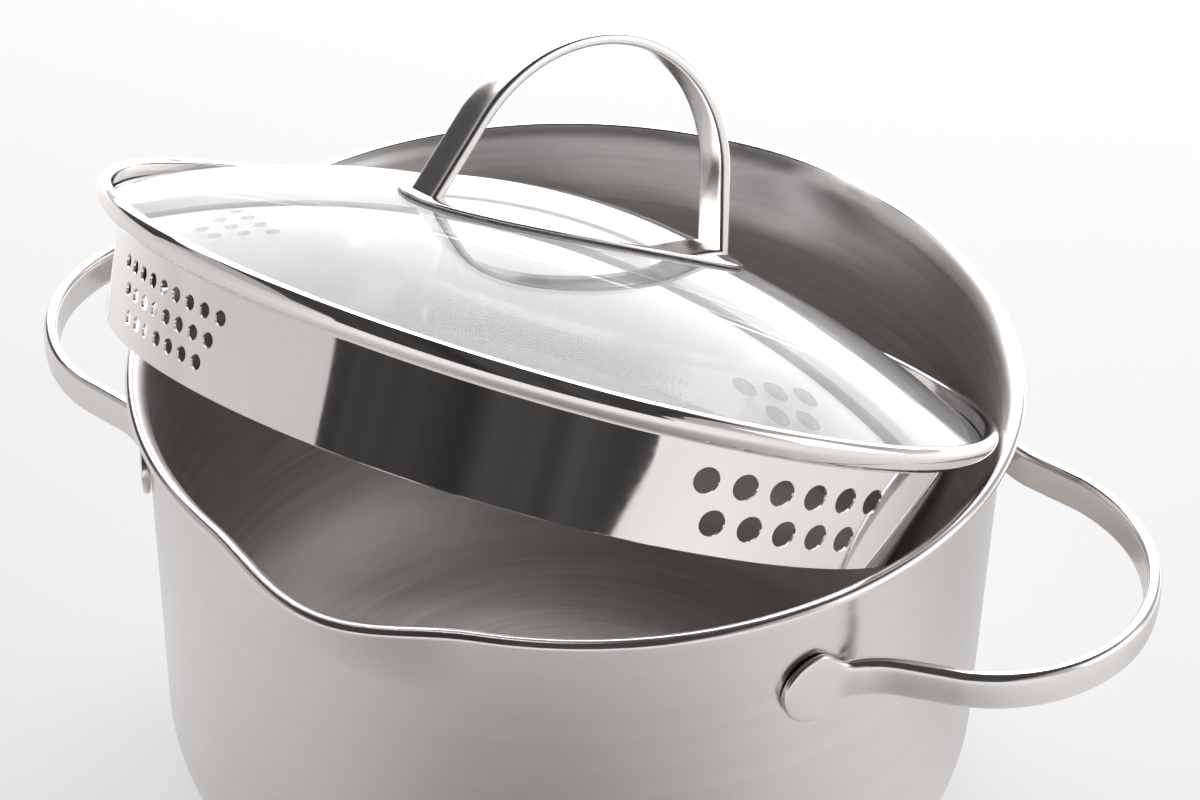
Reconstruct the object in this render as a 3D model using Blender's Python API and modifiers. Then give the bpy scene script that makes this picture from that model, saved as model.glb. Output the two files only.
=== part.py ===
# Soup pot with two pouring lips and a strainer lid, lid laid askew in the mouth.
# Units are metres. The table is z = 0, the loop handles lie on X and the pouring lips on Y.
import math

import bmesh
import bpy
from mathutils import Matrix, Vector

# Gaps between touching pieces
GAP = 0.0003

# Pot body, deep drawn from one sheet
POT_HEIGHT = 0.1525
POT_INNER_RADIUS = 0.1197
POT_WALL = 0.0008
POT_CORNER_RADIUS = 0.034
RIM_OVERHANG = 0.005
RIM_ROLL_RADIUS = 0.0015
RIM_FLARE_ANGLE = math.radians(52)
RIM_EDGE_DROP = 0.0003

# Pouring lips pressed out of the rim
LIP_REACH = 0.0053
LIP_DIP = 0.003
LIP_DEPTH = 0.028
LIP_HALF_ANGLE = math.radians(19.5)
LIP_TURN = math.radians(-3.7)

# Heat spreading base: an aluminium disc inside a steel cap
CORE_RADIUS = 0.088
CORE_THICKNESS = 0.004
CAP_SHEET = 0.0006

# Loop handles of flat bar, spot welded to the wall by a flattened paddle at each end
HANDLE_REACH = 0.0469
HANDLE_DROP = 0.0322
BAR_HEIGHT = 0.0115
BAR_THICKNESS = 0.0044
PADDLE_HEIGHT = 0.0216
PADDLE_THICKNESS = 0.0024
PADDLE_LENGTH = 0.0145
PADDLE_NECK = 0.0095
PADDLE_LIFT = 0.0007
LOOP_APEX_RADIUS = 0.0487
LOOP_APEX_TURN = math.radians(70.5)
LOOP_SHOULDER_RADIUS = 0.0192
LOOP_SHOULDER_TURN = math.radians(7)
LOOP_SWAN_RADIUS = 0.0238

# Lid band: bead round the glass, then a perforated skirt that fits inside the pot
LID_SHEET = 0.0006
BEAD_WIDTH = 0.0031
BEAD_ROLL_RADIUS = 0.0014
BEAD_LIP_DEPTH = 0.0044
BEAD_DEPTH = 0.0085
BEAD_BULGE_OVER = 0.0024
BEAD_BULGE_UNDER = 0.0015
BEAD_LEDGE_RISE = 0.0008
SKIRT_CLEARANCE = 0.0013
SKIRT_HEIGHT = 0.0272
SKIRT_TAPER = 0.0032

# Strainer holes: a fine pattern at one handle foot, a coarse one a quarter turn on
FINE_HOLE_RADIUS = 0.002
FINE_HOLE_PITCH = 0.00634
FINE_ROWS = (9, 8, 7)
FINE_ROW_PITCH = 0.0066
FINE_TOP_ROW = 0.0156
COARSE_HOLE_RADIUS = 0.0035
COARSE_HOLE_PITCH = 0.0109
COARSE_ROWS = (6, 5)
COARSE_ROW_PITCH = 0.0104
COARSE_TOP_ROW = 0.0171

# Domed glass
GLASS_THICKNESS = 0.0026
GLASS_SPHERE_RADIUS = 0.2806
GLASS_EDGE_COVER = 0.0006

# Lid handle: a flat bar arch on a domed oval plate
ARCH_WIDTH = 0.0116
ARCH_THICKNESS = 0.0035
ARCH_RADIUS = 0.0438
ARCH_LEAN = math.radians(19.3)
ARCH_HEIGHT = 0.0721
PLATE_LENGTH = 0.108
PLATE_WIDTH = 0.070
PLATE_SHEET = 0.001
PLATE_CROWN = 0.002

# Lid handle fixings, one set near each foot of the arch
FIXING_OFFSET = 0.033
STUD_RADIUS = 0.0036
SCREW_RADIUS = 0.002
SCREW_HEAD_RADIUS = 0.0038
SCREW_HEAD_HEIGHT = 0.0024
SCREW_LENGTH = 0.004
GASKET_RADIUS = 0.0075
GASKET_THICKNESS = 0.001
WASHER_RADIUS = 0.0065
WASHER_THICKNESS = 0.0008

# How the lid lies in the mouth: its low side hangs into the pot towards +Y
LID_TILT = math.radians(29.51)
LID_LOW_SIDE = math.radians(84.75)
LID_TURN = math.radians(-26.36)
LID_SHIFT_X = -0.0009
LID_SHIFT_Y = -0.0123

# Facets
POT_STEPS = 60
LID_STEPS = 56
SMALL_STEPS = 16
HOLE_STEPS = 12
SKIRT_LEVELS = 8
GLASS_RINGS = 8
PLATE_RINGS = 5

# Radii and heights that follow from the sizes above
POT_OUTER_RADIUS = POT_INNER_RADIUS + POT_WALL
RIM_RADIUS = POT_OUTER_RADIUS + RIM_OVERHANG
BODY_BOTTOM = CAP_SHEET + CORE_THICKNESS + 2 * GAP
SKIRT_TOP_RADIUS = POT_INNER_RADIUS - SKIRT_CLEARANCE
SKIRT_BOTTOM_RADIUS = SKIRT_TOP_RADIUS - SKIRT_TAPER
BEAD_LIP_RADIUS = RIM_RADIUS - BEAD_WIDTH
SKIRT_BOTTOM = -BEAD_DEPTH - SKIRT_HEIGHT
GLASS_RADIUS = BEAD_LIP_RADIUS + GLASS_EDGE_COVER


def clear_scene():
    for item in list(bpy.data.objects):
        bpy.data.objects.remove(item, do_unlink=True)


def new_collection(name):
    collection = bpy.data.collections.new(name)
    bpy.context.scene.collection.children.link(collection)
    return collection


def new_material(name, colour, roughness, metallic):
    material = bpy.data.materials.new(name)
    material.use_nodes = True
    material.diffuse_color = (*colour, 1.0)
    shader = material.node_tree.nodes["Principled BSDF"]
    shader.inputs["Base Color"].default_value = (*colour, 1.0)
    shader.inputs["Roughness"].default_value = roughness
    shader.inputs["Metallic"].default_value = metallic
    return material


def new_object(name, mesh, collection, material=None):
    item = bpy.data.objects.new(name, mesh)
    collection.objects.link(item)
    if material is not None:
        mesh.materials.append(material)
    return item


def shade_round(mesh):
    mesh.shade_smooth()
    mesh.set_sharp_from_angle(angle=math.radians(35))


def bake(item):
    # Replaces the object's mesh by its evaluated one, ready to be shaped by a formula.
    graph = bpy.context.evaluated_depsgraph_get()
    mesh = bpy.data.meshes.new_from_object(item.evaluated_get(graph))
    item.modifiers.clear()
    item.data = mesh
    return mesh


def arc(centre, radius, start, end, segments):
    points = []
    for step in range(segments + 1):
        angle = start + (end - start) * step / segments
        points.append((centre[0] + radius * math.cos(angle), centre[1] + radius * math.sin(angle)))
    return points


def bezier(a, b, c, d, segments):
    points = []
    for step in range(segments + 1):
        t = step / segments
        s = 1 - t
        weights = (s * s * s, 3 * s * s * t, 3 * s * t * t, t * t * t)
        points.append(tuple(sum(w * p[axis] for w, p in zip(weights, (a, b, c, d))) for axis in (0, 1)))
    return points


def distinct(points):
    kept = [points[0]]
    for point in points[1:]:
        if math.dist(point, kept[-1]) > 1e-6:
            kept.append(point)
    return kept


def offset_right(points, distance):
    # The same path moved sideways, to the right of its direction of travel.
    moved = []
    last = len(points) - 1
    for index, point in enumerate(points):
        before = Vector(points[max(index - 1, 0)])
        here = Vector(point)
        after = Vector(points[min(index + 1, last)])
        incoming = (here - before).normalized() if index > 0 else (after - here).normalized()
        outgoing = (after - here).normalized() if index < last else incoming
        normal = Vector((incoming.y + outgoing.y, -incoming.x - outgoing.x)).normalized()
        stretch = 1 / max(normal.dot(Vector((outgoing.y, -outgoing.x))), 0.5)
        moved.append(tuple(here + normal * distance * stretch))
    return moved


def smooth_step(value):
    value = min(max(value, 0.0), 1.0)
    return value * value * (3 - 2 * value)


def turned(name, profile, steps, collection, material, closed=True):
    # Turns a profile of (radius, height) points about Z. Its outer side runs from top to bottom.
    mesh = bpy.data.meshes.new(name)
    shape = bmesh.new()
    corners = [shape.verts.new((radius, 0, height)) for radius, height in profile]
    for first, second in zip(corners, corners[1:]):
        shape.edges.new((first, second))
    if closed:
        shape.edges.new((corners[-1], corners[0]))
    shape.to_mesh(mesh)
    shape.free()
    item = new_object(name, mesh, collection, material)
    screw = item.modifiers.new("Turn", "SCREW")
    screw.axis = "Z"
    screw.steps = steps
    screw.render_steps = steps
    screw.use_merge_vertices = True
    screw.merge_threshold = 0.00001
    shade_round(bake(item))
    return item


def ring(name, inner, outer, bottom, top, collection, material):
    profile = [(outer, top), (outer, bottom), (inner, bottom), (inner, top)]
    return turned(name, profile, SMALL_STEPS, collection, material)


def cut(item, cutter):
    boolean = item.modifiers.new("Cut " + cutter.name, "BOOLEAN")
    boolean.operation = "DIFFERENCE"
    boolean.solver = "EXACT"
    boolean.object = cutter
    cutter.hide_render = True
    cutter.display_type = "WIRE"


def add_cylinder(shape, radius, length, place, segments):
    bmesh.ops.create_cone(shape, cap_ends=True, cap_tris=False, segments=segments, radius1=radius,
                          radius2=radius, depth=length, matrix=place)


def bar_section(half_thickness, half_height, chamfer):
    # An upright flat bar with eased edges, seen along its length.
    inset = half_thickness - chamfer
    drop = half_height - chamfer
    return [(half_thickness, -drop), (half_thickness, drop), (inset, half_height), (-inset, half_height),
            (-half_thickness, drop), (-half_thickness, -drop), (-inset, -half_height), (inset, -half_height)]


def loft(name, sections, collection, material):
    # Joins matching sections, each a list of points, into one closed body with flat ends.
    mesh = bpy.data.meshes.new(name)
    shape = bmesh.new()
    rows = [[shape.verts.new(point) for point in section] for section in sections]
    for row, following in zip(rows, rows[1:]):
        for index in range(len(row)):
            behind = index - 1
            shape.faces.new((row[behind], row[index], following[index], following[behind]))
    shape.faces.new(rows[0])
    shape.faces.new(list(reversed(rows[-1])))
    bmesh.ops.recalc_face_normals(shape, faces=shape.faces)
    shape.to_mesh(mesh)
    shape.free()
    shade_round(mesh)
    return new_object(name, mesh, collection, material)


# Pot

RIM_SHEET_RADIUS = POT_INNER_RADIUS + POT_WALL / 2
RIM_FLARE_RADIUS = ((RIM_RADIUS - POT_WALL / 2 - RIM_SHEET_RADIUS - RIM_ROLL_RADIUS
                     * (1 + math.cos(RIM_FLARE_ANGLE))) / (1 - math.cos(RIM_FLARE_ANGLE)))
RIM_ROLL_RISE = RIM_ROLL_RADIUS * (1 - math.sin(RIM_FLARE_ANGLE))
FLARE_START = POT_HEIGHT - POT_WALL / 2 - RIM_ROLL_RISE - RIM_FLARE_RADIUS * math.sin(RIM_FLARE_ANGLE)


def rim_path():
    # Middle of the sheet from the wall's top out over the flare and down the rolled edge.
    flare_centre = (RIM_SHEET_RADIUS + RIM_FLARE_RADIUS, FLARE_START)
    flare = arc(flare_centre, RIM_FLARE_RADIUS, math.pi, math.pi - RIM_FLARE_ANGLE, 3)
    heading = math.pi / 2 - RIM_FLARE_ANGLE
    radius, height = flare[-1]
    roll_centre = (radius + RIM_ROLL_RADIUS * math.sin(heading), height - RIM_ROLL_RADIUS * math.cos(heading))
    roll = arc(roll_centre, RIM_ROLL_RADIUS, math.pi / 2 + heading, 0, 4)
    edge = [(roll_centre[0] + RIM_ROLL_RADIUS, roll_centre[1] - RIM_EDGE_DROP)]
    return distinct(flare + roll + edge)


def pot_profile():
    half_sheet = POT_WALL / 2
    inner_bottom = BODY_BOTTOM + POT_WALL
    inner_corner = POT_CORNER_RADIUS - POT_WALL
    corner_radius = POT_OUTER_RADIUS - POT_CORNER_RADIUS
    corner_height = BODY_BOTTOM + POT_CORNER_RADIUS
    lip_start = POT_HEIGHT - LIP_DEPTH
    levels = [lip_start + (FLARE_START - lip_start) * share for share in (0, 0.25, 0.5, 0.75)]
    path = rim_path()
    inside = [(0, inner_bottom)]
    inside += arc((corner_radius, corner_height), inner_corner, -math.pi / 2, 0, 5)
    inside += [(POT_INNER_RADIUS, level) for level in levels]
    inside += offset_right(path, -half_sheet)
    outside = [(0, BODY_BOTTOM)]
    outside += arc((corner_radius, corner_height), POT_CORNER_RADIUS, -math.pi / 2, 0, 5)
    outside += [(POT_OUTER_RADIUS, level) for level in levels]
    outside += offset_right(path, half_sheet)
    return inside + outside[::-1]


def press_lips(mesh):
    # Moves the top of the wall out and the rim down inside two windows, LIP_TURN away from the Y axis.
    for vertex in mesh.vertices:
        x, y, z = vertex.co
        radius = math.hypot(x, y)
        if radius < POT_INNER_RADIUS / 2:
            continue
        across = x * math.cos(LIP_TURN) + y * math.sin(LIP_TURN)
        along = y * math.cos(LIP_TURN) - x * math.sin(LIP_TURN)
        turn = math.atan2(abs(across), abs(along))
        if turn >= LIP_HALF_ANGLE:
            continue
        window = math.cos(math.pi / 2 * turn / LIP_HALF_ANGLE) ** 2
        rise = smooth_step((z - (POT_HEIGHT - LIP_DEPTH)) / LIP_DEPTH)
        grown = (radius + LIP_REACH * window * rise) / radius
        vertex.co = (x * grown, y * grown, z - LIP_DIP * window * rise)


def build_pot(parts, steel, aluminium):
    body = turned("pot_body", pot_profile(), POT_STEPS, parts, steel, closed=False)
    press_lips(body.data)
    core_bottom = CAP_SHEET + GAP
    core_top = core_bottom + CORE_THICKNESS
    core = [(0, core_top), (CORE_RADIUS, core_top), (CORE_RADIUS, core_bottom), (0, core_bottom)]
    turned("base_core_disc", core, POT_STEPS, parts, aluminium, closed=False)
    cup = CORE_RADIUS + GAP
    shell = cup + CAP_SHEET
    cap = [(0, CAP_SHEET), (cup, CAP_SHEET), (cup, core_top - GAP), (shell, core_top - GAP)]
    cap += [(shell, CAP_SHEET), (shell - CAP_SHEET, 0), (0, 0)]
    turned("base_cap", cap, POT_STEPS, parts, steel, closed=False)


# Loop handles

def handle_path():
    # Half of the bar's middle line, from the middle of the loop back to the paddle's tip on the wall,
    # as (x, y) points. Y grows from the loop's middle to the tip.
    wall_radius = POT_OUTER_RADIUS + GAP + PADDLE_THICKNESS / 2
    apex = RIM_RADIUS + HANDLE_REACH - BAR_THICKNESS / 2
    centre = Vector((apex - LOOP_APEX_RADIUS, 0))
    points = arc(centre, LOOP_APEX_RADIUS, 0, LOOP_APEX_TURN, 8)
    inward = Vector((math.cos(LOOP_APEX_TURN), math.sin(LOOP_APEX_TURN)))
    centre = centre + inward * (LOOP_APEX_RADIUS - LOOP_SHOULDER_RADIUS)
    turned_so_far = LOOP_APEX_TURN + LOOP_SHOULDER_TURN
    points += arc(centre, LOOP_SHOULDER_RADIUS, LOOP_APEX_TURN, turned_so_far, 2)[1:]
    # The swan neck is an arc that touches both the straight leg and the wall.
    heading = Vector((-math.sin(turned_so_far), math.cos(turned_so_far)))
    outward = Vector((heading.y, -heading.x))
    start = Vector(points[-1]) + outward * LOOP_SWAN_RADIUS
    reach = wall_radius + LOOP_SWAN_RADIUS
    along = start.dot(heading)
    leg = -along - math.sqrt(along * along - start.length_squared + reach * reach)
    swan_centre = start + heading * leg
    meeting_angle = math.atan2(swan_centre.y, swan_centre.x)
    leaving_angle = math.atan2(-outward.y, -outward.x)
    swan = arc(swan_centre, LOOP_SWAN_RADIUS, leaving_angle + 2 * math.pi, meeting_angle + math.pi, 8)
    points += swan
    paddle_turn = PADDLE_LENGTH / wall_radius
    # The tip is round, so its stations crowd towards the end.
    round_share = PADDLE_HEIGHT / 2 / PADDLE_LENGTH
    stations = [0.3 * (1 - round_share), 0.65 * (1 - round_share)]
    stations += [1 - round_share * (1 - math.sin(math.radians(angle))) for angle in (0, 30, 50, 67, 80, 88)]
    for station in stations:
        angle = meeting_angle + paddle_turn * station
        points.append((wall_radius * math.cos(angle), wall_radius * math.sin(angle)))
    return distinct(points)


def handle_sections():
    path = handle_path()
    lengths = [0.0]
    for first, second in zip(path, path[1:]):
        lengths.append(lengths[-1] + math.dist(first, second))
    tip_radius = PADDLE_HEIGHT / 2
    half = []
    for index, point in enumerate(path):
        from_tip = lengths[-1] - lengths[index] + 0.00001
        widen = 1 - smooth_step((from_tip - tip_radius) / PADDLE_NECK)
        thin = 1 - smooth_step((from_tip - PADDLE_LENGTH) / PADDLE_NECK)
        half_height = BAR_HEIGHT / 2 + (PADDLE_HEIGHT - BAR_HEIGHT) / 2 * widen
        if from_tip < tip_radius:
            half_height = math.sqrt(tip_radius ** 2 - (tip_radius - from_tip) ** 2)
        half_thickness = (BAR_THICKNESS + (PADDLE_THICKNESS - BAR_THICKNESS) * thin) / 2
        chamfer = min(half_thickness * 0.6, half_height * 0.6)
        before = Vector(path[max(index - 1, 0)])
        after = Vector(path[min(index + 1, len(path) - 1)])
        along = (after - before).normalized() if index else Vector((0, 1))
        side = Vector((along.y, -along.x))
        middle = POT_HEIGHT - HANDLE_DROP + PADDLE_LIFT * widen
        section = []
        for across, up in bar_section(half_thickness, half_height, chamfer):
            place = Vector(point) + side * across
            section.append((place.x, place.y, middle + up))
        half.append(section)
    mirrored = [[(x, -y, z) for x, y, z in section] for section in half[:0:-1]]
    return mirrored + half


def build_pot_handles(parts, steel):
    right = loft("pot_handle_right", handle_sections(), parts, steel)
    left = new_object("pot_handle_left", right.data.copy(), parts)
    left.rotation_euler = (0, 0, math.pi)


# Lid, modelled level about its own axis with z = 0 on top of the bead

def glass_height(radius):
    # Upper surface of the domed glass.
    edge_drop = math.sqrt(GLASS_SPHERE_RADIUS ** 2 - BEAD_LIP_RADIUS ** 2)
    return math.sqrt(GLASS_SPHERE_RADIUS ** 2 - radius ** 2) - edge_drop - BEAD_LIP_DEPTH - GAP


def bead_path():
    # Outer face of the sheet: up the lip, over the bead and under it to the crease.
    roll_centre = (BEAD_LIP_RADIUS + BEAD_ROLL_RADIUS, -BEAD_ROLL_RADIUS)
    path = [(BEAD_LIP_RADIUS, -BEAD_LIP_DEPTH)]
    path += arc(roll_centre, BEAD_ROLL_RADIUS, math.pi, math.pi / 2, 4)
    crease = (SKIRT_TOP_RADIUS, -BEAD_DEPTH)
    over = (RIM_RADIUS + BEAD_BULGE_OVER, 0)
    under = (RIM_RADIUS + BEAD_BULGE_UNDER, -BEAD_DEPTH + BEAD_LEDGE_RISE)
    path += bezier(path[-1], over, under, crease, 6)
    return distinct(path)


def hole_cutter(name, hole_radius, pitch, rows, row_pitch, top_row, direction, cutters):
    # Staggered rows of round punches through the skirt, centred on one direction.
    mesh = bpy.data.meshes.new(name)
    shape = bmesh.new()
    middle_radius = (SKIRT_TOP_RADIUS + SKIRT_BOTTOM_RADIUS) / 2
    for row, count in enumerate(rows):
        height = -(top_row + row_pitch * row)
        for column in range(count):
            angle = direction + (column - (count - 1) / 2) * pitch / middle_radius
            place = (Matrix.Rotation(angle, 4, "Z") @ Matrix.Translation((middle_radius, 0, height))
                     @ Matrix.Rotation(math.pi / 2, 4, "Y"))
            add_cylinder(shape, hole_radius, 4 * SKIRT_TAPER, place, HOLE_STEPS)
    shape.to_mesh(mesh)
    shape.free()
    return new_object(name, mesh, cutters)


def plate_height(x, y):
    # Underside of the oval plate: its edge lies on the glass and its middle is crowned.
    share = (x / (PLATE_LENGTH / 2)) ** 2 + (y / (PLATE_WIDTH / 2)) ** 2
    return glass_height(math.hypot(x, y)) + GAP + PLATE_CROWN * (1 - share)


def oval_sheet(name, rings, rise, thickness, collection, material=None):
    # A crowned oval sheet above the plate's underside, its thickness added upwards or downwards.
    # It has the plate's outline with PLATE_RINGS rings and reaches past it with more.
    profile = [(ring / PLATE_RINGS, 0) for ring in range(rings + 1)]
    sheet = turned(name, profile, 2 * SMALL_STEPS, collection, material, closed=False)
    for vertex in sheet.data.vertices:
        x = vertex.co.x * PLATE_LENGTH / 2
        y = vertex.co.y * PLATE_WIDTH / 2
        vertex.co = (x, y, plate_height(x, y) + rise)
    for face in sheet.data.polygons:
        if face.normal.z < 0:
            face.flip()
    thicken = sheet.modifiers.new("Sheet", "SOLIDIFY")
    thicken.thickness = abs(thickness)
    thicken.offset = 1 if thickness > 0 else -1
    return sheet


def arch_sections():
    # The bar runs up one leaning leg, round the top and down the other, in the lid's XZ plane.
    centre_height = ARCH_HEIGHT - ARCH_RADIUS
    top = arc((0, centre_height), ARCH_RADIUS, ARCH_LEAN, math.pi - ARCH_LEAN, 18)
    foot_height = glass_height(PLATE_LENGTH / 2)
    leg = (top[0][1] - foot_height) / math.cos(ARCH_LEAN)
    foot = (top[0][0] + leg * math.sin(ARCH_LEAN), foot_height)
    path = [foot] + top + [(-foot[0], foot_height)]
    sections = []
    for index, point in enumerate(path):
        before = Vector(path[max(index - 1, 0)])
        after = Vector(path[min(index + 1, len(path) - 1)])
        along = (after - before).normalized()
        side = Vector((along.y, -along.x))
        section = []
        for across, sideways in bar_section(ARCH_THICKNESS / 2, ARCH_WIDTH / 2, ARCH_THICKNESS * 0.25):
            place = Vector(point) + side * across
            section.append((place.x, sideways, place.y))
        sections.append(section)
    return sections


def fixing_frame(side):
    # Stands on the glass's upper surface, upright to it, at one of the two screw holes.
    slope = math.asin(FIXING_OFFSET / GLASS_SPHERE_RADIUS) * side
    place = Matrix.Translation((FIXING_OFFSET * side, 0, glass_height(FIXING_OFFSET)))
    return place @ Matrix.Rotation(slope, 4, "Y")


def build_fixing(word, side, lid, parts, cutters, glass, steel, silicone):
    plate_gap = plate_height(FIXING_OFFSET, 0) - glass_height(FIXING_OFFSET)
    under_glass = -GLASS_THICKNESS - GAP
    seal_bore = STUD_RADIUS + GAP
    washer_top = under_glass - GASKET_THICKNESS - GAP
    head_top = washer_top - WASHER_THICKNESS - GAP
    stud_top = plate_gap - GAP
    stud_bottom = under_glass - GASKET_THICKNESS
    bore = SCREW_RADIUS + GAP
    bore_top = head_top + SCREW_LENGTH + GAP
    stud_profile = [(0, stud_top), (STUD_RADIUS, stud_top), (STUD_RADIUS, stud_bottom), (bore, stud_bottom)]
    stud_profile += [(bore, bore_top), (0, bore_top)]
    stud = turned("lid_stud_" + word, stud_profile, SMALL_STEPS, parts, steel, closed=False)
    upper = ring("lid_gasket_upper_" + word, seal_bore, GASKET_RADIUS, GAP, plate_gap - 2 * GAP, parts, silicone)
    lower = ring("lid_gasket_lower_" + word, seal_bore, GASKET_RADIUS, under_glass - GASKET_THICKNESS,
                 under_glass, parts, silicone)
    washer = ring("lid_washer_" + word, bore, WASHER_RADIUS, washer_top - WASHER_THICKNESS, washer_top,
                  parts, steel)
    head_bottom = head_top - SCREW_HEAD_HEIGHT
    screw_profile = [(0, head_top + SCREW_LENGTH), (SCREW_RADIUS, head_top + SCREW_LENGTH)]
    screw_profile += [(SCREW_RADIUS, head_top), (SCREW_HEAD_RADIUS, head_top)]
    screw_profile += [(SCREW_HEAD_RADIUS, head_bottom + SCREW_HEAD_HEIGHT / 2), (SCREW_RADIUS, head_bottom)]
    screw_profile += [(0, head_bottom)]
    screw = turned("lid_screw_" + word, screw_profile, SMALL_STEPS, parts, steel, closed=False)
    drill_top = GLASS_THICKNESS
    drill_bottom = -2 * GLASS_THICKNESS
    drill = [(0, drill_top), (seal_bore, drill_top), (seal_bore, drill_bottom), (0, drill_bottom)]
    hole = turned("glass_hole_" + word, drill, SMALL_STEPS, cutters, None, closed=False)
    for piece in (stud, upper, lower, washer, screw, hole):
        piece.parent = lid
        piece.matrix_local = fixing_frame(side)
    cut(glass, hole)


def build_lid(lid, parts, cutters, steel, glass_material, silicone):
    outer = bead_path() + [(SKIRT_BOTTOM_RADIUS, SKIRT_BOTTOM)]
    inner = offset_right(outer, LID_SHEET)
    band = turned("lid_band", outer + inner[::-1], LID_STEPS, parts, steel)
    fine = hole_cutter("fine_holes", FINE_HOLE_RADIUS, FINE_HOLE_PITCH, FINE_ROWS, FINE_ROW_PITCH,
                       FINE_TOP_ROW, math.pi, cutters)
    coarse = hole_cutter("coarse_holes", COARSE_HOLE_RADIUS, COARSE_HOLE_PITCH, COARSE_ROWS, COARSE_ROW_PITCH,
                         COARSE_TOP_ROW, -math.pi / 2, cutters)
    cut(band, fine)
    cut(band, coarse)

    edge_round = GLASS_THICKNESS / 2
    edge_radius = GLASS_RADIUS - edge_round
    slope = math.asin(edge_radius / GLASS_SPHERE_RADIUS)
    edge_centre = (edge_radius - edge_round * math.sin(slope),
                   glass_height(edge_radius) - edge_round * math.cos(slope))
    shares = [step / GLASS_RINGS for step in range(GLASS_RINGS)]
    dome_top = [(edge_radius * share, glass_height(edge_radius * share)) for share in shares]
    edge = arc(edge_centre, edge_round, math.pi / 2 - slope, -math.pi / 2 - slope, 4)
    under_edge = edge[-1][0]
    under_radius = GLASS_SPHERE_RADIUS - GLASS_THICKNESS
    under_drop = math.sqrt(under_radius ** 2 - under_edge ** 2) - edge[-1][1]
    dome_under = [(under_edge * share, math.sqrt(under_radius ** 2 - (under_edge * share) ** 2) - under_drop)
                  for share in shares]
    glass = turned("lid_glass", dome_top + edge + dome_under[::-1], LID_STEPS, parts, glass_material,
                   closed=False)

    plate = oval_sheet("lid_handle_plate", PLATE_RINGS, 0, PLATE_SHEET, parts, steel)
    arch = loft("lid_handle", arch_sections(), parts, steel)
    # The trim reaches below the feet, which end level with the plate's edge.
    plate_rise = plate_height(0, 0) + PLATE_SHEET + GAP - glass_height(PLATE_LENGTH / 2)
    trim = oval_sheet("handle_foot_trim", PLATE_RINGS + 1, PLATE_SHEET + GAP, -plate_rise - ARCH_THICKNESS,
                      cutters)
    cut(arch, trim)
    for piece in (band, fine, coarse, glass, plate, arch, trim):
        piece.parent = lid
    for word, side in (("left", -1), ("right", 1)):
        build_fixing(word, side, lid, parts, cutters, glass, steel, silicone)


def rim_height(radius):
    # Lowest height at which a point this far from the axis is clear of the pot: anywhere inside the
    # wall and outside the rim, above the flare's inner face in between.
    if radius + GAP <= POT_INNER_RADIUS or radius - GAP > RIM_RADIUS:
        return -math.inf
    flare = RIM_FLARE_RADIUS + POT_WALL / 2
    reach = max(POT_INNER_RADIUS + flare - radius - GAP, 0)
    return min(FLARE_START + math.sqrt(flare * flare - reach * reach), POT_HEIGHT) + GAP


def lid_attitude():
    return (Matrix.Rotation(LID_LOW_SIDE, 4, "Z") @ Matrix.Rotation(LID_TILT, 4, "Y")
            @ Matrix.Rotation(LID_TURN, 4, "Z"))


def settle_lid():
    # Height at which the tilted lid's bead or skirt is about to touch the pot.
    levels = [step / SKIRT_LEVELS for step in range(SKIRT_LEVELS + 1)]
    circles = bead_path()
    circles += [(SKIRT_TOP_RADIUS - SKIRT_TAPER * level, -BEAD_DEPTH - SKIRT_HEIGHT * level) for level in levels]
    attitude = lid_attitude()
    height = 0
    for radius, level in circles:
        for step in range(LID_STEPS * 4):
            angle = 2 * math.pi * step / (LID_STEPS * 4)
            point = attitude @ Vector((radius * math.cos(angle), radius * math.sin(angle), level))
            away = math.hypot(point.x + LID_SHIFT_X, point.y + LID_SHIFT_Y)
            height = max(height, rim_height(away) - point.z)
    return height


def build():
    clear_scene()
    parts = new_collection("soup_pot_with_strainer_lid")
    cutters = new_collection("cutters")
    satin = new_material("satin stainless steel", (0.62, 0.61, 0.60), 0.3, 1.0)
    polished = new_material("polished stainless steel", (0.72, 0.71, 0.70), 0.08, 1.0)
    aluminium = new_material("aluminium", (0.75, 0.75, 0.76), 0.4, 1.0)
    glass = new_material("clear glass", (0.88, 0.92, 0.92), 0.02, 0.0)
    silicone = new_material("grey silicone", (0.2, 0.2, 0.2), 0.6, 0.0)
    build_pot(parts, satin, aluminium)
    build_pot_handles(parts, polished)
    lid = bpy.data.objects.new("lid", None)
    parts.objects.link(lid)
    lid.empty_display_size = 0.02
    height = settle_lid()
    lid.matrix_world = Matrix.Translation((LID_SHIFT_X, LID_SHIFT_Y, height)) @ lid_attitude()
    build_lid(lid, parts, cutters, polished, glass, silicone)
    print("lid centre above the rim: %.2f mm" % (1000 * (height - POT_HEIGHT)))


build()
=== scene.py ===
# Looks of the soup pot with its strainer lid: steel, glass, studio light and camera.
import math

import bmesh
import bpy
from mathutils import Matrix, Vector


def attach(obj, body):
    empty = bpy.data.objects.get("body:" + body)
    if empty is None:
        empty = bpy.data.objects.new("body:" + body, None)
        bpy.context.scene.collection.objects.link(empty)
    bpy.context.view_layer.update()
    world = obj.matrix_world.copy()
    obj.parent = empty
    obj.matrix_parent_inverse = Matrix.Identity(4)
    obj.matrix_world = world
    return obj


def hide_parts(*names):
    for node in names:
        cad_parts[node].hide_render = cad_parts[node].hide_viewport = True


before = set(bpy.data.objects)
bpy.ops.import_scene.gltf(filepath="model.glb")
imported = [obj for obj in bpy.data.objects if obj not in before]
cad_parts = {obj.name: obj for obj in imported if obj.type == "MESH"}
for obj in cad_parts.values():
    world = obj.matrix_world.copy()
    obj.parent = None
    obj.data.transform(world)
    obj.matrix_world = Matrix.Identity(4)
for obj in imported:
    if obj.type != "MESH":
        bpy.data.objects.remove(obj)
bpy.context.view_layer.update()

# Lengths are in metres and angles in degrees, except where a comment says otherwise.
gap = 0.0003  # between pieces that lie on each other
weld = 0.000001  # points closer than this are one


# Colours and nodes

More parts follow.
